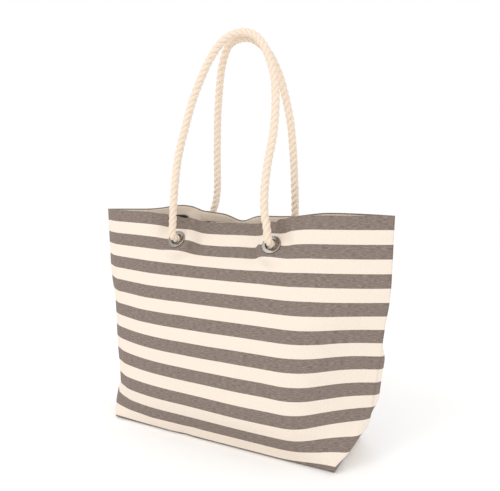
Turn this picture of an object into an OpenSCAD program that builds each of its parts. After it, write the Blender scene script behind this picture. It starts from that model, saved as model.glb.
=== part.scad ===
// Open beach tote in striped canvas, with rope handles held in metal eyelets.
// Millimetres, +Z up, X along the width. The origin is the middle of the base, on the ground.
// Each wall is a flat cloth panel bent into shape. A place on it is given by s, the distance
// from its middle measured along the cloth, and t, the distance below the rim.

/* [Bag] */
// Finished width of the flat panel, from side seam to side seam
top_w = 525; // [430:5:640]
// Height of the panel, from the rim down to the edge of the base
panel_h = 360; // [300:5:440]
// Depth of the boxed base, front to back
base_d = 125; // [100:5:150]
// Thickness of the canvas
canvas_t = 1.6; // [1:0.1:2.4]

/* [Shape as it stands] */
// How far the front rim sags inwards at its middle
front_sag = 38; // [20:1:42]
// How far the back rim sags inwards at its middle
back_sag = 10; // [0:1:20]
// Height of the side tuck above the ground
tuck_h = 60; // [45:5:80]

/* [Rim and lining] */
// Height of the canvas facing inside the rim
facing_h = 15; // [14:1:26]
// Thickness of the facing
facing_t = 0.8; // [0.5:0.1:1.2]
// Thickness of the lining
lining_t = 0.5; // [0.3:0.1:1]
// Gap between layers of cloth
layer_gap = 0.1; // [0.05:0.05:0.3]

/* [Eyelets] */
// Distance between the two eyelets of one panel, along the cloth
eyelet_span = 170; // [140:5:200]
// Distance from the rim down to the middle of an eyelet
eyelet_drop = 40; // [36:1:50]
// Outer diameter of the eyelet's flange
eyelet_d = 30; // [27:0.5:32]
// Diameter of the hole through the eyelet
eyelet_bore = 18; // [16:0.5:20]
// Height of the rounded flange above the canvas
flange_h = 2.2; // [1.6:0.1:3]
// Wall of the eyelet's barrel
barrel_wall = 0.8; // [0.5:0.1:1.2]
// Thickness of the washer inside
washer_t = 1; // [0.6:0.1:1.6]

/* [Ropes] */
// Diameter of the twisted rope
rope_d = 12; // [10:0.5:13]
// Diameter of the stopper knot inside the bag
knot_d = 28; // [24:0.5:32]
// Clearance between the end of the loop and the end of the stub
rope_gap = 0.8; // [0.6:0.1:1]

/* [Hidden] */
$fn = 48;

half_w = top_w / 2;
base_half = half_w - base_d / 2;

// The bend of the wall. Going up from the ground, each row gives the height along the cloth,
// the place of the first bend, its angle and its width, then the place of the tuck, the angle
// of the cloth beyond it and how steeply that cloth drops. Places are measured back from the
// side seam.
BENDS = [
    // height, bend from seam, angle, width, tuck from seam, angle, drop
    [0,                 110,  0,    30,  base_d / 2, 90, 0],
    [tuck_h / 6,        110,  17,   30,  54,         88, 0],
    [tuck_h / 3,        110,  30,   34,  45,         86, 0.3],
    [tuck_h * 2 / 3,    116,  38,   40,  22,         80, 0.3],
    [tuck_h,            122,  40.5, 44,  0,          60, 0.1],
    [panel_h * 0.28,    131,  38,   64,  0,          38, 0],
    [panel_h * 0.45,    144,  32,   110, 0,          32, 0],
    [panel_h * 0.72,    147,  20,   150, 0,          20, 0],
    [panel_h * 0.89,    145,  18.5, 155, 0,          18, 0],
    [panel_h,           142,  15,   160, 0,          15, 0]
];
function column(k) = [for (row = BENDS) [row[0], row[k]]];
BEND_AT = column(1);
BEND_ANGLE = column(2);
BEND_WIDTH = column(3);
TUCK_AT = column(4);
TUCK_ANGLE = column(5);
TUCK_DROP = column(6);

// Length of cloth in the rounded fold of the tuck
tuck_round = 22;

// Sag of the rim: how far down it reaches, and where along the rim it starts to fade and ends
sag_reach = 80;
sag_power = 1.5;
sag_full = 60;
sag_end = 170;
// Flat seat of the canvas around an eyelet, and where it has faded into the wall
seat_r = 20;
seat_fade = 42;

eyelet_x = eyelet_span / 2;

// Grid of the cloth: finer around the eyelets and in the side tuck
function steps(a, b, n) = [for (k = [0 : n - 1]) a + (b - a) * k / n];
corner_margin = 12;
corner_zone = base_d / 2 + corner_margin;
HALF_COLUMNS = concat(
    steps(0, eyelet_x - seat_r, 3),
    steps(eyelet_x - seat_r, eyelet_x + seat_r, 6),
    steps(eyelet_x + seat_r, half_w - corner_zone, 5),
    steps(half_w - corner_zone, half_w, 9),
    [half_w]
);
COLUMNS = concat(
    [for (k = [len(HALF_COLUMNS) - 1 : -1 : 1]) -HALF_COLUMNS[k]],
    HALF_COLUMNS
);
rim_steps = 3;
cloth_in = canvas_t + layer_gap;
ROWS = concat(
    steps(0, facing_h, rim_steps),
    steps(facing_h, 2 * eyelet_drop - facing_h, 6),
    steps(2 * eyelet_drop - facing_h, panel_h - tuck_h, 7),
    steps(panel_h - tuck_h, panel_h - cloth_in, 6),
    [panel_h - cloth_in, panel_h]
);
last_row = len(ROWS) - 1;
last_column = len(COLUMNS) - 1;

function clamp(v) = min(max(v, 0), 1);
function smooth(v) = let (u = clamp(v)) u * u * (3 - 2 * u);
function unit(v) = v / norm(v);

// Plan of the cloth at height h along it: how far a point at s from the middle has gone along
// X, how far it has come in from the face, and how far it has dropped.
function bend_part(run, width, angle) =
    let (r = width / (angle * PI / 180))
    let (q = min(run, width) / r * 180 / PI)
    let (over = max(run - width, 0))
    [r * sin(q) + over * cos(angle), r * (1 - cos(q)) + over * sin(angle)];
function swung(p, angle) =
    [p[0] * cos(angle) - p[1] * sin(angle), p[0] * sin(angle) + p[1] * cos(angle)];
least = 0.01;
function plan(s, h) =
    let (width = lookup(h, BEND_WIDTH))
    let (angle = max(lookup(h, BEND_ANGLE), least))
    let (start = half_w - lookup(h, BEND_AT) - width / 2)
    let (beyond = lookup(h, TUCK_AT))
    let (fold_width = max(min(tuck_round, 2 * beyond), least))
    let (tuck = half_w - beyond - fold_width / 2)
    let (drop = lookup(h, TUCK_DROP))
    let (turned = max(lookup(h, TUCK_ANGLE) - angle, least))
    let (bent = bend_part(max(min(s, tuck) - start, 0), width, angle))
    let (over = max(s - tuck, 0))
    let (last = swung(bend_part(over * sqrt(1 - drop * drop), fold_width, turned), angle))
    [min(s, start) + bent[0] + last[0], bent[1] + last[1], over * drop];
// Inward sag of the rim
function sag(s, t, amount) =
    amount * pow(clamp(1 - t / sag_reach), sag_power)
    * (1 - smooth((abs(s) - sag_full) / (sag_end - sag_full)));
// Distance of the cloth in front of the middle of the bag
function face_y(s, t, amount) =
    plan(half_w, panel_h - t)[1] - plan(abs(s), panel_h - t)[1] - sag(s, t, amount);
// Height above the ground. The wall stands almost upright below lean_top. Above it the cloth
// keeps its length, so the rim stands lower where it leans. least_climb is its least climb, as
// a share of its length.
lean_top = 100;
rise_step = 10;
least_climb = 1 / 3;
function rise(s, t, amount, at, z) =
    at <= t ? z :
    let (next = max(at - rise_step, t))
    let (lean = face_y(s, next, amount) - face_y(s, at, amount))
    let (run = at - next)
    rise(s, t, amount, next, z + sqrt(max(run * run - lean * lean, pow(run * least_climb, 2))));
function bare(s, t, amount) =
    let (p = plan(abs(s), panel_h - t))
    let (from = max(t, lean_top))
    let (z = rise(s, t, amount, from, panel_h - from) - p[2])
    [sign(s) * p[0], -face_y(s, t, amount), max(z, 0)];

// The flat seat of an eyelet: its middle, its outward axis and two directions across it
seat_probe = 14;
function seat(amount) =
    let (o = bare(eyelet_x, eyelet_drop, amount))
    let (u = bare(eyelet_x + seat_probe, eyelet_drop, amount))
    let (v = bare(eyelet_x, eyelet_drop + seat_probe, amount))
    let (w = bare(eyelet_x, eyelet_drop - seat_probe, amount))
    let (across = unit([u[0] - o[0], 0, 0]))
    let (down = unit([0, v[1] - w[1], v[2] - w[2]]))
    [o, cross(down, across), across, down];
FRONT_SEAT = seat(front_sag);
BACK_SEAT = seat(back_sag);

function wall(s, t, amount, place) =
    let (p = bare(s, t, amount))
    let (r = norm([abs(s) - eyelet_x, t - eyelet_drop]))
    let (w = 1 - smooth((r - seat_r) / (seat_fade - seat_r)))
    w <= 0 ? p :
    let (flat = place[0] + (abs(s) - eyelet_x) * place[2] + (t - eyelet_drop) * place[3])
    p * (1 - w) + [sign(s) * flat[0], flat[1], flat[2]] * w;

// A sheet of cloth over some rows of the grid, between two distances inside the outer face. The
// two lowest rows are offset level.
least_side = 0.2;
function inward(g, i, j) =
    let (a = g[min(i + 1, last_row)][j] - g[max(i - 1, 0)][j])
    let (b = g[i][min(j + 1, last_column)] - g[i][max(j - 1, 0)])
    unit(cross(b, a));
function inside(g, i, j, away, low) =
    let (p = g[i][j])
    let (slope = inward(g, i, j))
    let (n = i < last_row - 1 ? slope : unit([slope[0], slope[1], 0]))
    let (side = sign(p[0]) * max(abs(n[0]), least_side))
    let (q = j == 0 || j == last_column ? p - [away / side, 0, 0] : p + n * away)
    [q[0], min(q[1], 0), max(q[2], low)];
// based adds half of the base, from the middle of the lowest row's thickness inwards.
module sheet(first, last, amount, place, near, far, based = false) {
    g = [for (t = ROWS) [for (s = COLUMNS) wall(s, t, amount, place)]];
    nr = last - first + 1;
    nc = last_column + 1;
    at = function (i, j, k) k * nr * nc + i * nc + j;
    quad = function (a, b, c, d) [[a, c, b], [a, d, c]];
    points = [
        for (away = [near, far]) for (i = [first : last]) for (j = [0 : last_column])
            inside(g, i, j, away, near)
    ];
    across = [
        for (i = [0 : nr - 2]) for (j = [0 : nc - 2]) for (q = [
            quad(at(i, j, 0), at(i + 1, j, 0), at(i + 1, j + 1, 0), at(i, j + 1, 0)),
            quad(at(i, j, 1), at(i, j + 1, 1), at(i + 1, j + 1, 1), at(i + 1, j, 1))
        ]) for (f = q) f
    ];
    ends = [
        for (j = [0 : nc - 2]) for (q = [
            quad(at(0, j, 0), at(0, j + 1, 0), at(0, j + 1, 1), at(0, j, 1)),
            quad(at(nr - 1, j, 0), at(nr - 1, j, 1), at(nr - 1, j + 1, 1), at(nr - 1, j + 1, 0))
        ]) for (f = q) f
    ];
    sides = [
        for (i = [0 : nr - 2]) for (q = [
            quad(at(i, 0, 0), at(i, 0, 1), at(i + 1, 0, 1), at(i + 1, 0, 0)),
            quad(at(i, nc - 1, 0), at(i + 1, nc - 1, 0), at(i + 1, nc - 1, 1), at(i, nc - 1, 1))
        ]) for (f = q) f
    ];
    polyhedron(points = points, faces = concat(across, ends, sides));
    if (based)
        translate([0, 0, near])
            linear_extrude(far - near)
                polygon([
                    for (j = [0 : last_column])
                        let (q = inside(g, last, j, (near + far) / 2, near))
                        [q[0], min(q[1], -layer_gap / 2)]
                ]);
}

// Places its children on an eyelet seat, with +Z outwards along the rope
module on_seat(place, right) {
    n = place[1];
    translate([(right ? 1 : -1) * place[0][0], place[0][1], place[0][2]])
        rotate([acos(n[2]), 0, 0])
            children();
}
// Cutter for the holes, turned so that its start doesn't lie on a row of the cloth
cutter_h = 20;
cutter_turn = 20;
module rope_holes(place) {
    for (right = [true, false])
        on_seat(place, right)
            rotate([0, 0, cutter_turn])
                cylinder(
                    d = eyelet_bore + 2 * barrel_wall + 2 * layer_gap,
                    h = cutter_h,
                    center = true
                );
}

module panel(amount, place) {
    difference() {
        sheet(0, last_row, amount, place, 0, canvas_t, based = true);
        rope_holes(place);
    }
}
module facing(amount, place) {
    sheet(0, rim_steps, amount, place, cloth_in, cloth_in + facing_t);
}
module lining(amount, place) {
    difference() {
        sheet(
            rim_steps, last_row - 1, amount, place, cloth_in, cloth_in + lining_t, based = true
        );
        rope_holes(place);
    }
}

// Rounded flange outside, and the barrel that goes through the cloth and the washer
stack_t = cloth_in + lining_t + layer_gap;
module eyelet(place, right) {
    bore_r = eyelet_bore / 2;
    flange_w = eyelet_d / 2 - bore_r;
    on_seat(place, right)
        rotate_extrude()
            translate([bore_r, 0]) {
                translate([0, layer_gap])
                    square([flange_w, flange_h / 2]);
                translate([flange_h / 2, layer_gap + flange_h / 2])
                    circle(r = flange_h / 2);
                translate([flange_w - flange_h / 2, layer_gap + flange_h / 2])
                    circle(r = flange_h / 2);
                translate([flange_h / 2, layer_gap + flange_h / 2])
                    square([flange_w - flange_h, flange_h / 2]);
                translate([0, -stack_t - washer_t])
                    square([barrel_wall, stack_t + washer_t + layer_gap + flange_h / 2]);
            }
}
module washer(place, right) {
    on_seat(place, right)
        translate([0, 0, -stack_t - washer_t])
            difference() {
                cylinder(d = eyelet_d - washer_t, h = washer_t);
                cylinder(d = eyelet_bore + 2 * barrel_wall, h = cutter_h, center = true);
            }
}

// Rope through the eyelet, with its stopper knot inside the bag
stub_out = layer_gap + flange_h + rope_d / 2;
knot_in = stack_t + washer_t + layer_gap + knot_d / 2;
module rope_end(place, right) {
    on_seat(place, right)
        translate([0, 0, -knot_in]) {
            sphere(d = knot_d);
            cylinder(d = rope_d, h = knot_in + stub_out - rope_d / 2);
            translate([0, 0, knot_in + stub_out - rope_d / 2])
                sphere(d = rope_d);
        }
}

// Loops of rope. Each starts and ends at a pivot just outside its eyelets.
function pivot(place) = place[0] + place[1] * (stub_out + rope_gap + rope_d / 2);
FRONT_PIVOT = pivot(FRONT_SEAT);
BACK_PIVOT = pivot(BACK_SEAT);
function mirrored(p) = [-p[0], p[1], p[2]];
function turned_point(p) = [-p[0], -p[1], p[2]];
FRONT_ROUTE = concat(
    [mirrored(FRONT_PIVOT)],
    [
        [-84, -44, 350], [-83, -43, 374], [-81, -40, 410], [-77, -35, 452], [-67, -30, 495],
        [-56, -25, 536], [-41, -20, 574], [-25, -15, 605], [-5, -11, 627], [20, -8, 635],
        [44, -9, 628], [61, -12, 611], [73, -16, 589], [83, -20, 560], [87, -25, 520],
        [86, -31, 478], [80, -36, 438], [77, -40, 400], [78, -43, 366], [82, -44, 347]
    ],
    [FRONT_PIVOT]
);
BACK_ROUTE = concat(
    [turned_point(BACK_PIVOT)],
    [
        [-80, 58, 340], [-71, 59, 357], [-62, 56, 378], [-56, 51, 404], [-52, 44, 444],
        [-48, 38, 486], [-43, 32, 528], [-36, 26, 564], [-27, 19, 596], [-12, 12, 622],
        [8, 8, 630], [30, 9, 629], [49, 12, 616], [63, 16, 596], [75, 21, 566],
        [82, 27, 534], [87, 33, 500], [89, 39, 460], [89, 46, 416], [88, 53, 366]
    ],
    [turned_point(mirrored(BACK_PIVOT))]
);
rope_sides = 12;
ring_steps = 2;
function curve(a, b, c, d, u) =
    (2 * b + (c - a) * u + (2 * a - 5 * b + 4 * c - d) * u * u
    + (3 * b - a - 3 * c + d) * u * u * u) / 2;
function centres(r) =
    let (n = len(r) - 1)
    [
        for (k = [0 : n * ring_steps])
            let (i = min(floor(k / ring_steps), n - 1))
            let (u = k / ring_steps - i)
            curve(r[max(i - 1, 0)], r[i], r[i + 1], r[min(i + 2, n)], u)
    ];
// Each ring is its middle, its direction and its radius. The ends are rounded off.
END_ANGLES = [75, 50, 25];
function rings(r) =
    let (c = centres(r))
    let (n = len(c))
    let (first = unit(c[0] - c[1]))
    let (last = unit(c[n - 1] - c[n - 2]))
    let (radius = rope_d / 2)
    concat(
        [for (a = END_ANGLES) [c[0] + first * radius * sin(a), -first, radius * cos(a)]],
        [for (i = [0 : n - 1]) [c[i], unit(c[min(i + 1, n - 1)] - c[max(i - 1, 0)]), radius]],
        [
            for (k = [len(END_ANGLES) - 1 : -1 : 0])
                let (a = END_ANGLES[k])
                [c[n - 1] + last * radius * sin(a), last, radius * cos(a)]
        ]
    );
module rope(route) {
    all_rings = rings(route);
    n = len(all_rings);
    outline = function (ring)
        let (side = unit(cross(ring[1], [0, 1, 0])))
        let (out = cross(side, ring[1]))
        [
            for (k = [0 : rope_sides - 1])
                let (a = 360 * k / rope_sides)
                ring[0] + (side * cos(a) + out * sin(a)) * ring[2]
        ];
    polyhedron(
        points = [for (ring = all_rings) for (p = outline(ring)) p],
        faces = concat(
            [[for (k = [rope_sides - 1 : -1 : 0]) k]],
            [
                for (i = [0 : n - 2]) for (k = [0 : rope_sides - 1])
                    let (m = (k + 1) % rope_sides)
                    let (a = i * rope_sides)
                    let (b = a + rope_sides)
                    for (f = [[a + m, b + k, a + k], [a + m, b + m, b + k]]) f
            ],
            [[for (k = [0 : rope_sides - 1]) (n - 1) * rope_sides + k]]
        )
    );
}

// The nodes. What belongs to the back is made like the front and turned half round.
canvas_colour = "#f1e6d9";
facing_colour = "#e4cdb0";
lining_colour = "#4a3d35";
metal_colour = "#c9c6c2";
rope_colour = "#ecdcc4";
module turned() {
    rotate([0, 0, 180])
        children();
}
module front_panel() { color(canvas_colour) panel(front_sag, FRONT_SEAT); }
module back_panel() { color(canvas_colour) turned() panel(back_sag, BACK_SEAT); }
module front_facing() { color(facing_colour) facing(front_sag, FRONT_SEAT); }
module back_facing() { color(facing_colour) turned() facing(back_sag, BACK_SEAT); }
module front_lining() { color(lining_colour) lining(front_sag, FRONT_SEAT); }
module back_lining() { color(lining_colour) turned() lining(back_sag, BACK_SEAT); }
module front_left_eyelet() { color(metal_colour) eyelet(FRONT_SEAT, false); }
module front_right_eyelet() { color(metal_colour) eyelet(FRONT_SEAT, true); }
module back_left_eyelet() { color(metal_colour) turned() eyelet(BACK_SEAT, true); }
module back_right_eyelet() { color(metal_colour) turned() eyelet(BACK_SEAT, false); }
module front_left_washer() { color(metal_colour) washer(FRONT_SEAT, false); }
module front_right_washer() { color(metal_colour) washer(FRONT_SEAT, true); }
module back_left_washer() { color(metal_colour) turned() washer(BACK_SEAT, true); }
module back_right_washer() { color(metal_colour) turned() washer(BACK_SEAT, false); }
module front_left_rope_end() { color(rope_colour) rope_end(FRONT_SEAT, false); }
module front_right_rope_end() { color(rope_colour) rope_end(FRONT_SEAT, true); }
module back_left_rope_end() { color(rope_colour) turned() rope_end(BACK_SEAT, true); }
module back_right_rope_end() { color(rope_colour) turned() rope_end(BACK_SEAT, false); }
module front_handle() { color(rope_colour) rope(FRONT_ROUTE); }
module back_handle() { color(rope_colour) rope(BACK_ROUTE); }

front_panel();
back_panel();
front_facing();
back_facing();
front_lining();
back_lining();
front_left_eyelet();
front_right_eyelet();
back_left_eyelet();
back_right_eyelet();
front_left_washer();
front_right_washer();
back_left_washer();
back_right_washer();
front_left_rope_end();
front_right_rope_end();
back_left_rope_end();
back_right_rope_end();
front_handle();
back_handle();
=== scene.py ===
"""An open beach tote in striped canvas, with rope handles held in metal eyelets.

Metres, +Z up, X along the width of the bag, -Y towards the front. Each wall is one flat cloth
panel bent into shape. A place on it is given by s, the distance from its middle along the cloth,
and t, the distance below the rim. Below the edge of the base, t goes on under the bag. The back
is made like the front and turned half round.
"""

import math

import bpy
import numpy as np
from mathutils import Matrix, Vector


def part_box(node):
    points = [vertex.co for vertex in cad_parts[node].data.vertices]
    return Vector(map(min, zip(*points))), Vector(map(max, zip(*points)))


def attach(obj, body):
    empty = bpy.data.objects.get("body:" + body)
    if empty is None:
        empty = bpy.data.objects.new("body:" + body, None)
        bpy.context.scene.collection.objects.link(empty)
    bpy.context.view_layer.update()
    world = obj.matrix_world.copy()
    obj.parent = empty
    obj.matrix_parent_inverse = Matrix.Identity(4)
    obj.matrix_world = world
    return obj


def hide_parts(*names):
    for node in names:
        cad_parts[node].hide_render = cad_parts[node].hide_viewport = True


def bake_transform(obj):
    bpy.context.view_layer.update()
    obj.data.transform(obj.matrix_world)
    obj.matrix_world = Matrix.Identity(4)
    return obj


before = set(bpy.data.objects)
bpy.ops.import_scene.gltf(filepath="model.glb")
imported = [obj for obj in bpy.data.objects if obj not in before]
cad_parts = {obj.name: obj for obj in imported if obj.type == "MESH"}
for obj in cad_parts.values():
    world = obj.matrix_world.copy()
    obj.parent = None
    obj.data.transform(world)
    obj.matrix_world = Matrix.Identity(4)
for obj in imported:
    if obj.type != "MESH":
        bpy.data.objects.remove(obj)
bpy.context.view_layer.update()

MM = 0.001
DEGREE = math.pi / 180

# ------------------------------------------------------------------ sizes of the flat cloth
TOP_W = 525 * MM
PANEL_H = 360 * MM
BASE_D = 125 * MM
HALF_W = TOP_W / 2
BASE_HALF = HALF_W - BASE_D / 2
STRIPE = 20 * MM
CLOTH_T = 0.8 * MM
FACING_H = 15 * MM
FACING_TOP = 2.2 * MM
LINING_T = 0.5 * MM

# ------------------------------------------------------------------ eyelets and ropes
EYELET_X = 85 * MM
EYELET_DROP = 40 * MM
HOLE_R = 10.2 * MM
STACK_T = 2.3 * MM
WASHER_T = 1 * MM
FLANGE_H = 2.2 * MM
ROPE_D = 12 * MM
KNOT_D = 28 * MM
GAP = 0.1 * MM
ROPE_GAP = 0.8 * MM

# ------------------------------------------------------------------ the wall as it stands
# How each side of the wall bends, going up: the height along the cloth, and then three bends.
# Each bend is its place back from the side seam, the angle of the cloth beyond it and its width.
BENDS_RIGHT = np.array(
    [
        (0, 110, 0, 30, 80, 0, 10, 62.5, 90, 1),
        (10, 110, 9, 30, 80, 9, 10, 55, 92, 10),
        (20, 112, 19, 34, 80, 19, 10, 47, 92, 16),
        (40, 116, 34, 40, 60, 34, 20, 26, 90, 22),
        (60, 120, 45, 44, 40, 44, 30, 6, 60, 12),
        (80, 124, 44, 50, 34, 36, 40, 4, 34, 8),
        (120, 124, 46, 56, 40, 25, 50, 4, 25, 8),
        (160, 125, 43, 70, 46, 22, 50, 4, 22, 8),
        (200, 120, 38, 70, 50, 24, 60, 4, 24, 8),
        (240, 120, 24, 110, 35, 30, 50, 4, 30, 8),
        (260, 120, 21, 110, 35, 30, 50, 4, 30, 8),
        (360, 120, 18, 110, 35, 28, 50, 4, 28, 8),
    ],
    float,
)
BENDS_LEFT = np.array(
    [
        (0, 150, 0, 60, 90, 0, 30, 62.5, 90, 1),
        (10, 150, 3, 60, 84, 12, 40, 55, 92, 10),
        (20, 150, 5, 70, 84, 26, 46, 47, 92, 16),
        (40, 150, 9, 80, 82, 41, 56, 26, 90, 22),
        (60, 150, 12, 100, 75, 58, 50, 6, 64, 12),
        (80, 150, 14, 110, 70, 56, 50, 4, 56, 8),
        (120, 140, 21, 130, 52, 56, 46, 4, 56, 8),
        (160, 135, 23, 140, 45, 54, 40, 4, 54, 8),
        (200, 135, 20, 140, 45, 48, 40, 4, 48, 8),
        (240, 130, 19, 150, 35, 40, 40, 4, 40, 8),
        (260, 130, 17, 150, 35, 38, 40, 4, 38, 8),
        (360, 130, 14, 150, 35, 34, 40, 4, 34, 8),
    ],
    float,
)
# Heights over which a change of slope of the bends is rounded off
BEND_ROUND = 12 * MM
BEND_SPREAD = (-1, -0.6, -0.2, 0.2, 0.6, 1)
LEAST_ANGLE = 0.0005
# Above the tuck the cloth of each side reaches a little further than its flat half
EASE_RIGHT = 0.01
EASE_LEFT = 0.012
EASE_START = 30 * MM
EASE_RISE = 110 * MM
# Width at the middle over which the left side's shape passes into the right side's
SIDE_BLEND = 120 * MM
# Lean of the rim at the middle, how far down it reaches and where it fades out on each side
FRONT_SAG = 44 * MM
BACK_SAG = 10 * MM
SAG_REACH = 115 * MM
SAG_FULL = 40 * MM
SAG_END = 150 * MM
# Rise of the cloth at the corners of the base and of the rim: how much on each side, how far
# from the middle it starts, over what width it grows and how far up or down it reaches
CORNER_LIFT_RIGHT = 9 * MM
CORNER_LIFT_LEFT = 2 * MM
CORNER_LIFT_FROM = 110 * MM
CORNER_LIFT_WIDTH = 100 * MM
CORNER_LIFT_REACH = 110 * MM
RIM_LIFT_RIGHT = 4 * MM
RIM_LIFT_LEFT = 2 * MM
RIM_LIFT_FROM = 90 * MM
RIM_LIFT_WIDTH = 60 * MM
RIM_LIFT_REACH = 140 * MM
# Rise of the rounded edge along the base, and how far in it reaches
EDGE_R = 3.2 * MM
EDGE_IN = 1.3 * EDGE_R
# Flat seat of the canvas around an eyelet, and where it has faded into the wall
SEAT_R = 18 * MM
SEAT_FADE = 38 * MM
# From LEAN_TOP below the rim downwards the wall stands almost upright. Above that the cloth
# keeps its length, reckoned in steps that each climb at least LEAST_CLIMB of their length
LEAN_TOP = 120 * MM
LEAN_STEP = 2 * MM
LEAST_CLIMB = 1 / 3


def smooth(v):
    u = np.clip(v, 0, 1)
    return u * u * (3 - 2 * u)


def unit(v):
    return v / np.linalg.norm(v, axis=-1, keepdims=True)


def bend_value(bends, h, k, scale):
    """Column k of the bends at height h, rounded off where its slope changes."""
    reach = np.minimum(h, BEND_ROUND)
    found = [np.interp(h + reach * d, bends[:, 0] * MM, bends[:, k]) for d in BEND_SPREAD]
    return np.mean(found, axis=0) * scale


def bend_part(run, width, angle):
    """Where cloth of length run gets to, along and inwards, past a round bend and on."""
    angle = np.where(np.abs(angle) < LEAST_ANGLE, LEAST_ANGLE, angle)
    radius = width / angle
    turned = np.minimum(run, width) / radius
    over = np.maximum(run - width, 0)
    along = radius * np.sin(turned) + over * np.cos(angle)
    inwards = radius * (1 - np.cos(turned)) + over * np.sin(angle)
    return along, inwards


def side_plan(bends, ease, s, h):
    """How far the cloth at s has gone along X and come in from the face, on one side."""
    stretch = 1 + ease * smooth((h - EASE_START) / EASE_RISE)
    s = s * stretch
    begins = []
    for k in (1, 4, 7):
        width = bend_value(bends, h, k + 2, MM)
        begins.append(HALF_W * stretch - bend_value(bends, h, k, MM) - width / 2)
    begins.append(np.full_like(s, TOP_W))
    x, y = np.minimum(s, begins[0]), np.zeros_like(s)
    heading = np.zeros_like(s)
    for k, begin, end in zip((1, 4, 7), begins, begins[1:]):
        run = np.clip(s - begin, 0, np.maximum(end - begin, 0))
        angle = bend_value(bends, h, k + 1, DEGREE)
        u, v = bend_part(run, bend_value(bends, h, k + 2, MM), angle - heading)
        x = x + u * np.cos(heading) - v * np.sin(heading)
        y = y + u * np.sin(heading) + v * np.cos(heading)
        heading = angle
    return x, y


def plan(s, h):
    """Places of the cloth along X and in front of the middle of the bag."""
    half, away = np.full_like(s, HALF_W), np.abs(s)
    right = side_plan(BENDS_RIGHT, EASE_RIGHT, away, h)
    left = side_plan(BENDS_LEFT, EASE_LEFT, away, h)
    out_right = side_plan(BENDS_RIGHT, EASE_RIGHT, half, h)[1] - right[1]
    out_left = side_plan(BENDS_LEFT, EASE_LEFT, half, h)[1] - left[1]
    share = smooth(0.5 + s / SIDE_BLEND)
    x = np.where(s > 0, right[0], -left[0])
    return x, out_right * share + out_left * (1 - share)


def sag(s, t, amount):
    """Lean of the wall inwards at the middle of its rim."""
    fade = 1 - smooth((np.abs(s) - SAG_FULL) / (SAG_END - SAG_FULL))
    return amount * (1 - smooth(t / SAG_REACH)) * fade


def lift(s, t):
    """Rise of the cloth at the corners of the base and of the rim."""
    low = np.where(s > 0, CORNER_LIFT_RIGHT, CORNER_LIFT_LEFT)
    low = low * smooth((np.abs(s) - CORNER_LIFT_FROM) / CORNER_LIFT_WIDTH)
    low = low * (1 - smooth((PANEL_H - t) / CORNER_LIFT_REACH))
    high = np.where(s > 0, RIM_LIFT_RIGHT, RIM_LIFT_LEFT)
    high = high * smooth((np.abs(s) - RIM_LIFT_FROM) / RIM_LIFT_WIDTH)
    high = high * (1 - smooth(t / RIM_LIFT_REACH))
    return low + high + EDGE_R * (1 - smooth((PANEL_H - t) / STRIPE))


def bare(s, t, amount, relief, flip=1):
    """Points of the wall at s and t, before the flat seats of the eyelets are pressed in.

    flip is -1 for the back, which has its left side where the front, turned round, has its right.
    """
    s, t = np.broadcast_arrays(np.asarray(s, float), np.asarray(t, float))

    def out(s, t):
        return plan(flip * s, PANEL_H - t)[1] - sag(s, t, amount) + relief(s, t)

    x = flip * plan(flip * s, PANEL_H - t)[0]
    y = out(s, t)
    levels = np.arange(0, LEAN_TOP + LEAN_STEP / 2, LEAN_STEP)
    columns, column = np.unique(s, return_inverse=True)
    grid_s, grid_t = np.broadcast_arrays(columns.reshape(-1, 1), levels)
    leans = np.diff(out(grid_s, grid_t), axis=1)
    climbs = np.sqrt(np.maximum(LEAN_STEP**2 - leans**2, (LEAN_STEP * LEAST_CLIMB) ** 2))
    lost = np.cumsum((LEAN_STEP - climbs)[:, ::-1], axis=1)[:, ::-1]
    lost = np.concatenate([lost, np.zeros((len(lost), 1))], axis=1)
    place = np.clip(t.reshape(-1) / LEAN_STEP, 0, len(levels) - 1)
    low = np.minimum(place.astype(int), len(levels) - 2)
    rows = column.reshape(-1)
    part = place - low
    short = lost[rows, low] * (1 - part) + lost[rows, low + 1] * part
    z = PANEL_H - t + lift(flip * s, t) - short.reshape(s.shape)
    return np.stack([x, -y, z], axis=-1)


# Share of a fold's length over which it fades out at each end
FOLD_FADE = 0.3


def fold(s, t, start, end, width, depth):
    """A soft ridge, or a crease where depth is negative, along a line on the cloth. All in mm."""
    line = np.subtract(end, start)
    length = np.hypot(*line)
    du, dv = line / length
    u, v = s / MM - start[0], t / MM - start[1]
    along = (u * du + v * dv) / length
    off = u * dv - v * du
    fade = smooth(along / FOLD_FADE) * smooth((1 - along) / FOLD_FADE)
    return depth * MM * np.exp(-((off / width) ** 2)) * fade


# Folds of the front and of the back: start, end, half width and height, in mm on the cloth
FRONT_FOLDS = (
    ((-87, -26), (-84, 34), 7, -5),
    ((-71, -24), (-68, 46), 8, 2),
    ((79, -24), (80, 30), 8, -5),
    ((94, -24), (96, 36), 8, 3),
    ((-92, 48), (-50, 190), 16, -1.6),
    ((-120, 60), (-150, 210), 22, 1.5),
    ((84, 52), (64, 170), 15, -1.4),
    ((96, 56), (150, 190), 18, 1.6),
    ((-30, 20), (30, 110), 26, -1.5),
    ((20, 150), (-60, 300), 30, 1.4),
    ((60, 210), (140, 330), 24, -1.4),
    ((-190, 30), (-90, 80), 12, -1.3),
    ((-238, 60), (-196, 180), 10, 1.6),
    ((-246, 250), (-190, 356), 9, 2.2),
    ((-215, 210), (-165, 340), 12, -2),
    ((150, 20), (230, 90), 14, -1.2),
    ((-140, 330), (-60, 372), 12, 1.2),
    ((-70, 372), (-20, 330), 9, -1.2),
    ((160, 338), (215, 366), 8, 1.5),
)
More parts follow.
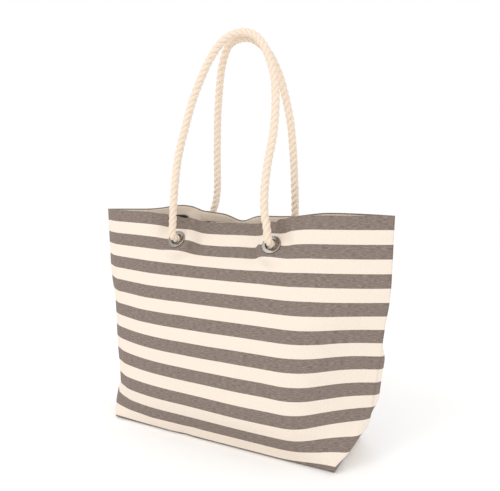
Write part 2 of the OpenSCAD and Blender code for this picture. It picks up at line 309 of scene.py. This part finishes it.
# Rises and dips of the back rim: place along it from the left seam's side, height and width
BACK_RIM = ((-113, 10, 45), (0, -11, 22), (62, -2.5, 60))
BACK_RIM_REACH = 110 * MM
BACK_FOLDS = (
    ((-92, -20), (-96, 50), 8, -3),
    ((74, -20), (70, 60), 9, -3),
    ((100, -24), (104, 50), 10, 3),
    ((-60, 60), (-20, 220), 24, -2),
    ((60, 70), (120, 250), 26, 2),
    ((-140, 40), (-190, 200), 20, -2),
    ((140, 90), (190, 240), 14, 2),
    ((-30, -40), (40, 60), 26, 4),
    ((-200, 240), (-150, 350), 16, -2),
)


def front_relief(s, t):
    return sum(fold(s, t, *line) for line in FRONT_FOLDS)


def back_relief(s, t):
    return sum(fold(s, t, *line) for line in BACK_FOLDS)


# ================================================================== walls on a grid
GRID_STEP = 2.5 * MM
GRID_S = np.arange(-HALF_W, HALF_W + GRID_STEP / 2, GRID_STEP)
GRID_T = np.arange(0, PANEL_H + GRID_STEP / 2, GRID_STEP)


def turned(points):
    """Half a turn about the upright axis, which brings the front to the back."""
    return points * np.array((-1, -1, 1))


def seat_of(washer):
    """Middle of the flat outer face of the canvas at an eyelet, and its direction downwards."""
    spots = np.array([v.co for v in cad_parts[washer].data.vertices])
    middle = np.mean(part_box(washer), axis=0)
    axis = np.linalg.svd(spots - spots.mean(axis=0), full_matrices=False)[2][2]
    axis = axis * np.sign(axis[2])
    down = np.cross(axis, (1, 0, 0))
    return middle + axis * (STACK_T + WASHER_T / 2), axis, down * -np.sign(down[2])


def pressed(points, seat, s, t):
    """The wall with the flat seat of one eyelet pressed in."""
    middle, _, down = seat
    side = np.sign(middle[0])
    away = np.hypot(s - side * EYELET_X, t - EYELET_DROP)
    share = 1 - smooth((away - SEAT_R) / (SEAT_FADE - SEAT_R))
    flat = middle + (s - side * EYELET_X)[..., None] * np.array((1, 0, 0))
    flat = flat + (t - EYELET_DROP)[..., None] * down
    return points + (flat - points) * share[..., None]


# The back cloth bulges past the right side seam, from just above the tuck to half way up
BULGE = 17 * MM
BULGE_OUT = 9 * MM
BULGE_R = 20 * MM
BULGE_FROM = 45 * MM
BULGE_TO = 150 * MM
BULGE_FADE = 50 * MM


def bulge(s, t):
    """How much of the bulge there is at a place."""
    away = (HALF_W + s) / BULGE_R
    h = PANEL_H - t
    share = smooth((h - BULGE_FROM) / BULGE_FADE) * (1 - smooth((h - BULGE_TO) / BULGE_FADE))
    return away * np.exp(1 - away) * share


def field(amount, relief, seats, waves, flip):
    """Points and inward normals of a wall, on the grid. waves are rises and dips of its rim."""
    s, t = np.meshgrid(GRID_S, GRID_T, indexing="ij")
    points = bare(s, t, amount, relief, flip)
    if flip < 0:
        points = points - bulge(s, t)[..., None] * np.array((BULGE, BULGE_OUT, 0))
    for place, height, width in waves:
        bump = height * MM * np.exp(-(((-s - place * MM) / (width * MM)) ** 2))
        points[..., 2] += bump * (1 - smooth(t / BACK_RIM_REACH))
    for seat in seats:
        points = pressed(points, seat, s, t)
    inwards = unit(np.cross(np.gradient(points, axis=0), np.gradient(points, axis=1)))
    return np.concatenate([points, inwards], axis=-1)


def at(wall, s, t):
    """Points and inward normals of a wall between the points of its grid."""
    s, t = np.broadcast_arrays(s, t)
    found = []
    for value, first, size in ((s, -HALF_W, len(GRID_S)), (t, 0, len(GRID_T))):
        place = np.clip((value - first) / GRID_STEP, 0, size - 1)
        low = np.minimum(place.astype(int), size - 2)
        found += [low, (place - low)[..., None]]
    i, a, j, b = found
    near = wall[i, j] * (1 - a) + wall[i + 1, j] * a
    far = wall[i, j + 1] * (1 - a) + wall[i + 1, j + 1] * a
    mixed = near * (1 - b) + far * b
    return mixed[..., :3], unit(mixed[..., 3:])


SEAM_GAP = 0.05 * MM


def layer(wall, s, t, depth):
    """Points of a layer of cloth that lies depth inside the outer face of a wall."""
    points, inwards = at(wall, s, t)
    points = points + inwards * np.asarray(depth)[..., None]
    points[..., 1] = np.minimum(points[..., 1], -SEAM_GAP)
    return points


front_seats = [seat_of("front_left_washer"), seat_of("front_right_washer")]
back_seats = [seat_of("back_left_washer"), seat_of("back_right_washer")]
back_seats_turned = [tuple(turned(v) for v in seat) for seat in back_seats]
front_wall = field(FRONT_SAG, front_relief, front_seats, (), 1)
back_wall = field(BACK_SAG, back_relief, back_seats_turned, BACK_RIM, -1)


# ================================================================== meshes
def new_object(name, vertices, faces, uv, material):
    """An object with the places on its surface as UVs, in metres."""
    mesh = bpy.data.meshes.new(name)
    mesh.from_pydata([tuple(v) for v in vertices], [], [tuple(f) for f in faces])
    layer_uv = mesh.uv_layers.new(name="cloth")
    corners = np.empty(len(mesh.loops), dtype=np.int32)
    mesh.loops.foreach_get("vertex_index", corners)
    layer_uv.data.foreach_set("uv", np.asarray(uv, dtype=np.float32)[corners].ravel())
    mesh.polygons.foreach_set("use_smooth", [True] * len(mesh.polygons))
    mesh.materials.append(material)
    mesh.update()
    obj = bpy.data.objects.new(name, mesh)
    bpy.context.scene.collection.objects.link(obj)
    return obj


def sheet_object(name, points, uv, material, thickness, keep, back):
    """A sheet of cloth from a grid of points, with its thickness inwards. keep picks faces."""
    if back:
        points = turned(points)
    columns, rows = points.shape[:2]
    index = np.arange(columns * rows).reshape(columns, rows)
    quads = np.stack([index[:-1, :-1], index[:-1, 1:], index[1:, 1:], index[1:, :-1]], axis=-1)
    used, faces = np.unique(quads[keep], return_inverse=True)
    obj = new_object(
        name, points.reshape(-1, 3)[used], faces.reshape(-1, 4), uv.reshape(-1, 2)[used], material
    )
    thick = obj.modifiers.new("thickness", "SOLIDIFY")
    thick.thickness = thickness
    thick.offset = -1
    return obj


def with_holes(s, t, keep):
    """Opens the eyelet holes in a grid of places on the cloth, with round edges."""
    for side in (-1, 1):
        u, v = s - side * EYELET_X, t - EYELET_DROP
        away = np.maximum(np.hypot(u, v), MM)
        inside = away < HOLE_R
        hidden = inside[:-1, :-1] & inside[1:, :-1] & inside[:-1, 1:] & inside[1:, 1:]
        keep = keep & ~hidden
        s = np.where(inside, side * EYELET_X + u * HOLE_R / away, s)
        t = np.where(inside, EYELET_DROP + v * HOLE_R / away, t)
    return s, t, keep


COLUMNS = np.linspace(-HALF_W, HALF_W, 211)
HEM = 14 * MM
FOLD_R = 0.9 * MM


def panel(name, wall, back):
    """A canvas panel: hem inside, folded rim, outer face, rounded edge and half of the base."""
    turn = np.linspace(math.pi, 0, 9)
    hem_t = np.linspace(HEM, FOLD_R, 8)[:-1]
    rim_t = FOLD_R * (1 - np.sin(turn))
    face_t = np.linspace(FOLD_R, PANEL_H, 145)[1:]
    t = np.concatenate([hem_t, rim_t, face_t])
    depth = np.concatenate([np.full(len(hem_t), 2 * FOLD_R), FOLD_R * (1 - np.cos(turn))])
    depth = np.concatenate([depth, np.zeros(len(face_t))])
    laid = np.concatenate([-hem_t, -rim_t * np.where(turn > math.pi / 2, 1, -1), face_t])
    keep = np.ones((len(COLUMNS) - 1, len(t) - 1), bool)
    s, t = np.meshgrid(COLUMNS, t, indexing="ij")
    s, t, keep = with_holes(s, t, keep)
    hem_rows = len(hem_t) + len(rim_t)
    s[:, :hem_rows], t[:, :hem_rows] = COLUMNS[:, None], t[:1, :hem_rows]
    wall_points = layer(wall, s, t, np.broadcast_to(depth, t.shape))
    uv = np.stack([s, np.where(np.arange(t.shape[1]) < hem_rows, laid, t)], axis=-1)

    foot, inwards = at(wall, COLUMNS, np.full(len(COLUMNS), PANEL_H))
    inwards = unit(inwards * np.array((1, 1, 0)))
    low = foot[:, 2]
    across = np.minimum(low, EDGE_IN)
    arc = np.linspace(0, math.pi / 2, 7)[1:]
    edge = foot[:, None] + inwards[:, None] * (across[:, None] * (1 - np.cos(arc)))[..., None]
    edge[..., 2] = low[:, None] * (1 - np.sin(arc))
    gone = across[:, None] * (1 - np.cos(arc))
    edge[..., 0] = np.clip(edge[..., 0], gone - BASE_HALF, BASE_HALF - gone)
    edge[..., 1] = np.clip(edge[..., 1], gone - BASE_D / 2, -SEAM_GAP)
    under = np.linspace(0, 1, 9)[1:]
    last = edge[:, -1:]
    middle = last * np.array((1, 0, 0)) - np.array((0, SEAM_GAP, 0))
    base = last * (1 - under[None, :, None]) + middle * under[None, :, None]
    arc_t = PANEL_H + (low + across)[:, None] / 2 * arc
    under_t = arc_t[:, -1:] + (BASE_D / 2 - across)[:, None] * under
    edge_uv = np.stack(np.broadcast_arrays(COLUMNS[:, None], arc_t), axis=-1)
    under_uv = np.stack(np.broadcast_arrays(COLUMNS[:, None], under_t), axis=-1)
    points = np.concatenate([wall_points, edge, base], axis=1)
    uv = np.concatenate([uv, edge_uv, under_uv], axis=1)
    under_base = np.abs((COLUMNS[1:] + COLUMNS[:-1]) / 2) < BASE_HALF - EDGE_IN
    keep = np.concatenate(
        [
            keep,
            np.ones((len(COLUMNS) - 1, len(arc)), bool),
            np.repeat(under_base[:, None], len(under), axis=1),
        ],
        axis=1,
    )
    return sheet_object(name, points, uv, canvas, CLOTH_T, keep, back)


def facing(name, wall, back):
    """The cotton tape along the inside of the rim."""
    s, t = np.meshgrid(COLUMNS, np.linspace(FACING_TOP, FACING_TOP + FACING_H, 10), indexing="ij")
    points = layer(wall, s, t, np.full(t.shape, FACING_DEPTH))
    keep = np.ones((s.shape[0] - 1, s.shape[1] - 1), bool)
    return sheet_object(name, points, np.stack([s, t], axis=-1), tape, FACING_T, keep, back)


def lining(name, wall, back):
    """The cloth inside, from under the facing down to the middle of the base. Its near-black
    colour is partly painted shade.
    """
    down = np.linspace(FACING_H, PANEL_H - LINING_LOW, 115)
    keep = np.ones((len(COLUMNS) - 1, len(down) - 1), bool)
    s, t = np.meshgrid(COLUMNS, down, indexing="ij")
    s, t, keep = with_holes(s, t, keep)
    points = layer(wall, s, t, np.full(t.shape, LINING_DEPTH))
    points[..., 2] = np.maximum(points[..., 2], LINING_LOW)
    under = np.linspace(0, 1, 9)[1:]
    last = points[:, -1:]
    middle = last * np.array((1, 0, 1)) - np.array((0, SEAM_GAP, 0))
    base = last * (1 - under[None, :, None]) + middle * under[None, :, None]
    under_t = PANEL_H + BASE_D / 2 * under
    under_uv = np.stack(np.broadcast_arrays(COLUMNS[:, None], under_t), axis=-1)
    under_base = np.abs((COLUMNS[1:] + COLUMNS[:-1]) / 2) < BASE_HALF
    keep = np.concatenate([keep, np.repeat(under_base[:, None], len(under), axis=1)], axis=1)
    uv = np.concatenate([np.stack([s, t], axis=-1), under_uv], axis=1)
    return sheet_object(
        name, np.concatenate([points, base], axis=1), uv, lining_cloth, LINING_T, keep, back
    )


FACING_DEPTH = 2 * FOLD_R + GAP
FACING_T = 0.6 * MM
LINING_DEPTH = CLOTH_T + GAP
LINING_LOW = 1.6 * MM


# ================================================================== materials
def material(name, colour, roughness, metallic=0.0):
    """A principled material, and what is needed to add nodes to it."""
    made = bpy.data.materials.new(name)
    made.use_nodes = True
    shader = made.node_tree.nodes["Principled BSDF"]
    shader.inputs["Base Color"].default_value = (*colour, 1)
    shader.inputs["Roughness"].default_value = roughness
    shader.inputs["Metallic"].default_value = metallic
    return made, made.node_tree, shader


def node(tree, kind, **settings):
    made = tree.nodes.new(kind)
    for key, value in settings.items():
        if key in made.inputs:
            made.inputs[key].default_value = value
        else:
            setattr(made, key, value)
    return made


def maths(tree, operation, first, second=None):
    made = tree.nodes.new("ShaderNodeMath")
    made.operation = operation
    for socket, value in zip(made.inputs, (first, second)):
        if value is None:
            continue
        if isinstance(value, (int, float)):
            socket.default_value = value
        else:
            tree.links.new(value, socket)
    return made.outputs[0]


def cloth_noise(tree, scale, stretch, detail=2.0, roughness=0.6):
    """Noise over the cloth, stretched along its width by stretch. scale is per metre."""
    place = node(tree, "ShaderNodeUVMap", uv_map="cloth")
    mapping = node(tree, "ShaderNodeMapping")
    mapping.inputs["Scale"].default_value = (scale / stretch, scale, scale)
    tree.links.new(place.outputs[0], mapping.inputs[0])
    noise = node(tree, "ShaderNodeTexNoise", Scale=1.0, Detail=detail, Roughness=roughness)
    tree.links.new(mapping.outputs[0], noise.inputs["Vector"])
    return noise.outputs[0]


def ramp(tree, value, low, high, first, last):
    """Maps value from low to high onto the colours first to last."""
    made = tree.nodes.new("ShaderNodeValToRGB")
    made.color_ramp.elements[0].position = low
    made.color_ramp.elements[1].position = high
    made.color_ramp.elements[0].color = (*first, 1)
    made.color_ramp.elements[1].color = (*last, 1)
    tree.links.new(value, made.inputs[0])
    return made.outputs[0]


def mixed(tree, factor, first, second):
    made = node(tree, "ShaderNodeMix", data_type="RGBA")
    tree.links.new(factor, made.inputs[0])
    tree.links.new(first, made.inputs[6])
    tree.links.new(second, made.inputs[7])
    return made.outputs[2]


def weave(tree, pitch, height, shader, strength):
    """Plain weave of crossing threads, as a bump on the shader."""
    place = node(tree, "ShaderNodeUVMap", uv_map="cloth")
    parts = node(tree, "ShaderNodeSeparateXYZ")
    tree.links.new(place.outputs[0], parts.inputs[0])
    turns = [maths(tree, "MULTIPLY", parts.outputs[k], math.pi / pitch) for k in (0, 1)]
    waves = [maths(tree, "SINE", turn) for turn in turns]
    product = maths(tree, "MULTIPLY", waves[0], waves[1])
    rough = cloth_noise(tree, 1 / pitch, 2.0)
    total = maths(tree, "ADD", product, rough)
    bump = node(tree, "ShaderNodeBump", Strength=strength, Distance=height)
    tree.links.new(total, bump.inputs["Height"])
    tree.links.new(bump.outputs[0], shader.inputs["Normal"])


CREAM = (0.87, 0.765, 0.665)
CREAM_LOW = (0.80, 0.69, 0.585)
DARK = (0.125, 0.092, 0.078)
DARK_FLECK = (0.37, 0.30, 0.255)
TAPE = (0.84, 0.71, 0.58)
# The lining is dark cloth, but its colour is the dark seen deep inside the bag, so it also
# carries painted shade
LINING_WITH_PAINTED_SHADE = (0.055, 0.038, 0.028)
ROPE = (0.86, 0.73, 0.60)
# The low rope colour is both random mottle from the fuzz and painted shade in the grooves between
# yarns
ROPE_LOW_AND_GROOVE_SHADE = (0.70, 0.56, 0.43)
# The metal colour is darker than bare metal: painted dark reflection, standing in for dark
# surroundings that the white world lacks
METAL_DARKENED_FOR_REFLECTIONS = (0.34, 0.315, 0.295)


# How far the edge of a stripe wanders, from its highest to its lowest
RAGGED = 1.2 * MM


def canvas_material():
    """Even stripes woven across the cloth. The dark ones are heathered with light flecks."""
    made, tree, shader = material("striped_canvas", CREAM, 0.92)
    place = node(tree, "ShaderNodeUVMap", uv_map="cloth")
    parts = node(tree, "ShaderNodeSeparateXYZ")
    tree.links.new(place.outputs[0], parts.inputs[0])
    down = maths(tree, "ABSOLUTE", parts.outputs[1])
    uneven = maths(tree, "SUBTRACT", cloth_noise(tree, 900, 1), 0.5)
    ragged = maths(tree, "MULTIPLY", uneven, RAGGED)
    place_down = maths(tree, "ADD", down, ragged)
    part = maths(tree, "FRACT", maths(tree, "DIVIDE", place_down, 2 * STRIPE))
    light = maths(tree, "GREATER_THAN", part, 0.5)
    flecks = ramp(tree, cloth_noise(tree, 1100, 9, 4.0, 0.8), 0.36, 0.7, DARK, DARK_FLECK)
    cream = ramp(tree, cloth_noise(tree, 900, 3, 3.0, 0.7), 0.3, 0.6, CREAM_LOW, CREAM)
    colour = mixed(tree, light, flecks, cream)
    tree.links.new(colour, shader.inputs["Base Color"])
    weave(tree, 1.1 * MM, 0.25 * MM, shader, 0.5)
    return made


def plain_cloth(name, low, high, pitch):
    made, tree, shader = material(name, high, 0.95)
    colour = ramp(tree, cloth_noise(tree, 1200, 3), 0.3, 0.65, low, high)
    tree.links.new(colour, shader.inputs["Base Color"])
    weave(tree, pitch, 0.2 * MM, shader, 0.4)
    return made


def rope_material():
    """Cotton strands: fine yarns that run slanted along each strand, with painted shade darkening
    the grooves between them.
    """
    made, tree, shader = material("cotton_rope", ROPE, 0.9)
    place = node(tree, "ShaderNodeUVMap", uv_map="cloth")
    parts = node(tree, "ShaderNodeSeparateXYZ")
    tree.links.new(place.outputs[0], parts.inputs[0])
    slant = maths(tree, "MULTIPLY", parts.outputs[0], 2 * math.pi / YARN_LAY)
    around = maths(tree, "MULTIPLY", parts.outputs[1], 2 * math.pi * YARNS)
    yarns = maths(tree, "SINE", maths(tree, "ADD", slant, around))
    height = maths(tree, "MULTIPLY", maths(tree, "ADD", yarns, 1.0), 0.5)
    fuzz = cloth_noise(tree, 700, 1, 3.0, 0.7)
    total = maths(tree, "ADD", maths(tree, "MULTIPLY", height, 0.4), fuzz)
    # Colour follows the yarn height, so the grooves between yarns get painted shade, along with
    # random mottle from the fuzz
    tree.links.new(ramp(tree, total, 0.3, 0.75, ROPE_LOW_AND_GROOVE_SHADE, ROPE), shader.inputs["Base Color"])
    bump = node(tree, "ShaderNodeBump", Strength=0.35, Distance=0.3 * MM)
    tree.links.new(total, bump.inputs["Height"])
    tree.links.new(bump.outputs[0], shader.inputs["Normal"])
    return made


YARN_LAY = 9 * MM
YARNS = 9
canvas = canvas_material()
tape = plain_cloth("facing_cotton", tuple(0.85 * c for c in TAPE), TAPE, 0.8 * MM)
# The lining material's near-black colour is partly painted shade
lining_cloth = plain_cloth("lining_cloth", tuple(0.6 * c for c in LINING_WITH_PAINTED_SHADE), LINING_WITH_PAINTED_SHADE, 0.7 * MM)
cotton = rope_material()
# Both metals carry that painted dark reflection in their colour
eyelet_metal = material("eyelet_metal", METAL_DARKENED_FOR_REFLECTIONS, 0.14, 1.0)[0]
washer_metal = material("washer_metal", METAL_DARKENED_FOR_REFLECTIONS, 0.28, 1.0)[0]
for name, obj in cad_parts.items():
    if name.endswith("_eyelet") or name.endswith("_washer"):
        metal = eyelet_metal if name.endswith("_eyelet") else washer_metal
        obj.data.materials.clear()
        obj.data.materials.append(metal)


# ================================================================== cloth
for side, wall, back in (("front", front_wall, False), ("back", back_wall, True)):
    body = panel(side + "_canvas", wall, back)
    strip = facing(side + "_tape", wall, back)
    inner = lining(side + "_inner", wall, back)
    for obj, replaced, used in (
        (body, "_panel", "striped_canvas"),
        (strip, "_facing", "facing_cotton"),
        (inner, "_lining", "lining_cloth"),
    ):
        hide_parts(side + replaced)
        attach(obj, "bag")


# ================================================================== ropes
STRANDS = 3
STRAND_R = 3.4 * MM
HELIX_R = 3.0 * MM
ROPE_LAY = 30 * MM
STRAND_SIDES = 10
ROUTE_STEP = 2 * MM
# The routes of the loops, from the left eyelet to the right one, in mm
FRONT_ROUTE = (
    (-84, -44, 350), (-83, -43, 374), (-81, -40, 410), (-77, -35, 452), (-67, -30, 495),
    (-56, -25, 536), (-41, -20, 574), (-25, -15, 605), (-5, -11, 627), (20, -8, 635),
    (44, -9, 628), (61, -12, 611), (73, -16, 589), (83, -20, 560), (87, -25, 520),
    (86, -31, 478), (80, -36, 438), (77, -40, 400), (78, -43, 366), (82, -44, 347),
)
BACK_ROUTE = (
    (-80, 58, 340), (-71, 59, 357), (-62, 56, 378), (-56, 51, 404), (-52, 44, 444),
    (-48, 38, 486), (-43, 32, 528), (-36, 26, 564), (-27, 19, 596), (-12, 12, 622),
    (8, 8, 630), (30, 9, 629), (49, 12, 616), (63, 16, 596), (75, 21, 566),
    (82, 27, 534), (87, 33, 500), (89, 39, 460), (89, 46, 416), (88, 53, 366),
)
STUB_OUT = GAP + FLANGE_H + ROPE_D / 2
PIVOT_OUT = STUB_OUT + ROPE_GAP + ROPE_D / 2
KNOT_IN = STACK_T + WASHER_T + GAP + KNOT_D / 2


CURVE_STEPS = 24


def smooth_line(points, step):
    """Points every step along a smooth curve through the given ones."""
    points = np.asarray(points, float)
    before, after = 2 * points[:1] - points[1:2], 2 * points[-1:] - points[-2:-1]
    padded = np.concatenate([before, points, after])
    u = np.linspace(0, 1, CURVE_STEPS, endpoint=False)[:, None]
    found = []
    for a, b, c, d in zip(padded, padded[1:], padded[2:], padded[3:]):
        line = 2 * b + (c - a) * u + (2 * a - 5 * b + 4 * c - d) * u**2
        found.append((line + (3 * b - a - 3 * c + d) * u**3) / 2)
    dense = np.concatenate(found + [points[-1:]])
    length = np.concatenate([[0], np.cumsum(np.linalg.norm(np.diff(dense, axis=0), axis=1))])
    marks = np.linspace(0, length[-1], max(int(length[-1] / step), 2) + 1)
    return np.stack([np.interp(marks, length, dense[:, k]) for k in range(3)], axis=-1), marks


def frames(line):
    """Two directions across a line at each of its points, which don't twist about it."""
    along = unit(np.gradient(line, axis=0))
    side = unit(np.cross(along[0], (0.31, 0.95, 0.05)))
    sides = []
    for direction in along:
        side = unit(side - direction * np.dot(side, direction))
        sides.append(side)
    sides = np.array(sides)
    return sides, np.cross(along, sides)


def tube(line, marks, radius, sides):
    """Vertices, faces and places on the surface of a tube along a line, closed at its ends."""
    across, up = frames(line)
    angle = np.linspace(0, 2 * math.pi, sides, endpoint=False)
    radius = np.broadcast_to(radius, len(line))[:, None, None]
    rings = line[:, None] + radius * (
        across[:, None] * np.cos(angle)[:, None] + up[:, None] * np.sin(angle)[:, None]
    )
    count = len(line)
    index = np.arange(count * sides).reshape(count, sides)
    following = np.roll(index, -1, axis=1)
    faces = np.stack([index[:-1], following[:-1], following[1:], index[1:]], axis=-1)
    faces = faces.reshape(-1, 4).tolist()
    faces += [index[0][::-1].tolist(), index[-1].tolist()]
    turn = np.abs(angle / math.pi - 1)
    uv = np.stack(np.broadcast_arrays(marks[:, None], turn[None]), axis=-1)
    return rings.reshape(-1, 3), faces, uv.reshape(-1, 2)


def joined(parts):
    """Several lots of vertices, faces and places made into one."""
    vertices, faces, uv, count = [], [], [], 0
    for part in parts:
        vertices.append(part[0])
        faces += [[k + count for k in face] for face in part[1]]
        uv.append(part[2])
        count += len(part[0])
    return np.concatenate(vertices), faces, np.concatenate(uv)


def strands(points, scale=1.0):
    """The tubes of a three-strand rope laid along smooth points, and the rope's middle line."""
    line, marks = smooth_line(points, ROUTE_STEP)
    across, up = frames(line)
    parts = []
    for k in range(STRANDS):
        phase = (marks * 2 * math.pi / ROPE_LAY + 2 * math.pi * k / STRANDS)[:, None]
        offset = across * np.cos(phase) + up * np.sin(phase)
        strand = line + HELIX_R * scale * offset
        parts.append(tube(strand, marks, STRAND_R * scale, STRAND_SIDES))
    return parts, line


def loop(name, route, seats, replaced):
    """A handle: one rope from knot to knot, through both eyelets. seats are left and right."""
    ends = []
    for middle, axis, _ in seats:
        outs = (-KNOT_IN, -KNOT_IN / 2, 0, PIVOT_OUT / 2, PIVOT_OUT)
        ends.append([middle + axis * out for out in outs])
    points = ends[0] + [np.array(p) * MM for p in route] + ends[1][::-1]
    parts, line = strands(points)
    obj = new_object(name, *joined(parts), cotton)
    length = np.linalg.norm(np.diff(line, axis=0), axis=1).sum()
    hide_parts(*replaced)
    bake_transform(obj)
    return obj, line, float(length)


# The knot: the rope goes round twice and through itself. Sizes of its two turnings, and the
# share of its thickness that the rope keeps where it is pulled tight
KNOT_MAJOR = 7.2 * MM
KNOT_MINOR = 4.6 * MM
KNOT_SCALE = 0.78
KNOT_BACK = 0.32 * KNOT_D
KNOT_GAP = 1 * MM
# The frayed tail: its length, its bundles of yarn, and their radii at the knot and at the end
TAIL = 26 * MM
BUNDLES = 12
BUNDLE_SIDES = 6
BUNDLE_R = 1.7
BUNDLE_TIP_R = 1.1


def knot(name, seat, spin, hang):
    """An overhand knot with a frayed tail that hangs down or, where hang is -1, stands up."""
    middle, axis, down = seat
    centre = middle - axis * (STACK_T + WASHER_T + GAP + KNOT_GAP + KNOT_BACK)
    side = np.cross(axis, down)
    turn = np.linspace(0, 2 * math.pi, 49)
    ring = KNOT_MAJOR + KNOT_MINOR * np.cos(3 * turn)
    places = (
        centre
        + side * (ring * np.cos(2 * turn + spin))[:, None]
        + down * (ring * np.sin(2 * turn + spin))[:, None]
        + axis * (KNOT_MINOR * np.sin(3 * turn))[:, None]
    )
    parts = strands(places, KNOT_SCALE)[0]
    begin = centre + down * KNOT_MAJOR * hang - axis * KNOT_MINOR
    for k in range(BUNDLES):
        angle = 2 * math.pi * k / BUNDLES + spin
        spread = side * math.cos(angle) + axis * math.sin(angle)
        wide = 1 + 0.5 * math.sin(2.3 * k + spin)
        half_way = begin + down * TAIL * 0.4 * hang + spread * 3 * MM - axis * 3 * MM
        tip = begin + down * TAIL * (0.85 + 0.1 * wide) * hang
        tip = tip + spread * 4.5 * MM * wide - axis * 5 * MM
        line, marks = smooth_line([begin + spread * 2.2 * MM, half_way, tip], ROUTE_STEP)
        radii = np.linspace(BUNDLE_R, BUNDLE_TIP_R, len(line)) * MM
        parts.append(tube(line, marks, radii, BUNDLE_SIDES))
    obj = new_object(name, *joined(parts), cotton)
    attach(obj, "bag")
    return obj


for side, route, seats, hang, start, end in (
    ("front", FRONT_ROUTE, front_seats, 1, (0, -0.0385, 0.3215), (0, -0.0447, 0.347)),
    ("back", BACK_ROUTE, back_seats, -1, (0, 0.048, 0.3215), (0, 0.0557, 0.347)),
):
    replaced = [side + "_handle", side + "_left_rope_end", side + "_right_rope_end"]
    rope, line, length = loop(side + "_rope", route, seats, replaced)
    knots = [
        knot(side + "_left_knot", seats[0], 0.4, hang),
        knot(side + "_right_knot", seats[1], 1.7, 1),
    ]


# ================================================================== stage, lights and camera
FLOOR_HALF = 6.0
FLOOR_Z = -0.2 * MM
LIGHT_SIZE = 1.6
LIGHT_AIM = (0, 0, 0.25)
LENS = 37.44
SENSOR = 36
CAMERA_PLACE = (0.403, -0.733, 0.410)
CAMERA_TURN = 26.8
CAMERA_DOWN = 6.95


def floor():
    white = material("floor", (1, 1, 1), 0.9)[0]
    corners = [(x * FLOOR_HALF, y * FLOOR_HALF) for x, y in ((-1, -1), (1, -1), (1, 1), (-1, 1))]
    vertices = [(x, y, FLOOR_Z) for x, y in corners]
    new_object("floor", vertices, [(0, 1, 2, 3)], corners, white)


def area_light(name, place, power, colour):
    light = bpy.data.lights.new(name, "AREA")
    light.shape = "DISK"
    light.size = LIGHT_SIZE
    light.energy = power
    light.color = colour
    obj = bpy.data.objects.new(name, light)
    obj.location = place
    obj.rotation_euler = (Vector(LIGHT_AIM) - Vector(place)).to_track_quat("-Z", "Y").to_euler()
    bpy.context.scene.collection.objects.link(obj)


scene = bpy.context.scene
floor()
area_light("key", (-0.9, -1.7, 1.9), 13, (1, 0.99, 0.97))
area_light("fill", (1.9, -1.0, 1.1), 4, (1, 1, 1))
world = bpy.data.worlds.new("white")
world.use_nodes = True
world.node_tree.nodes["Background"].inputs["Color"].default_value = (1, 1, 1, 1)
world.node_tree.nodes["Background"].inputs["Strength"].default_value = 1.0
scene.world = world
scene.view_settings.view_transform = "Standard"
scene.view_settings.look = "None"

lens = bpy.data.cameras.new("camera")
lens.lens = LENS
lens.sensor_width = SENSOR
camera = bpy.data.objects.new("camera", lens)
camera.location = CAMERA_PLACE
camera.rotation_euler = (math.radians(90 - CAMERA_DOWN), 0, math.radians(CAMERA_TURN))
scene.collection.objects.link(camera)
scene.camera = camera
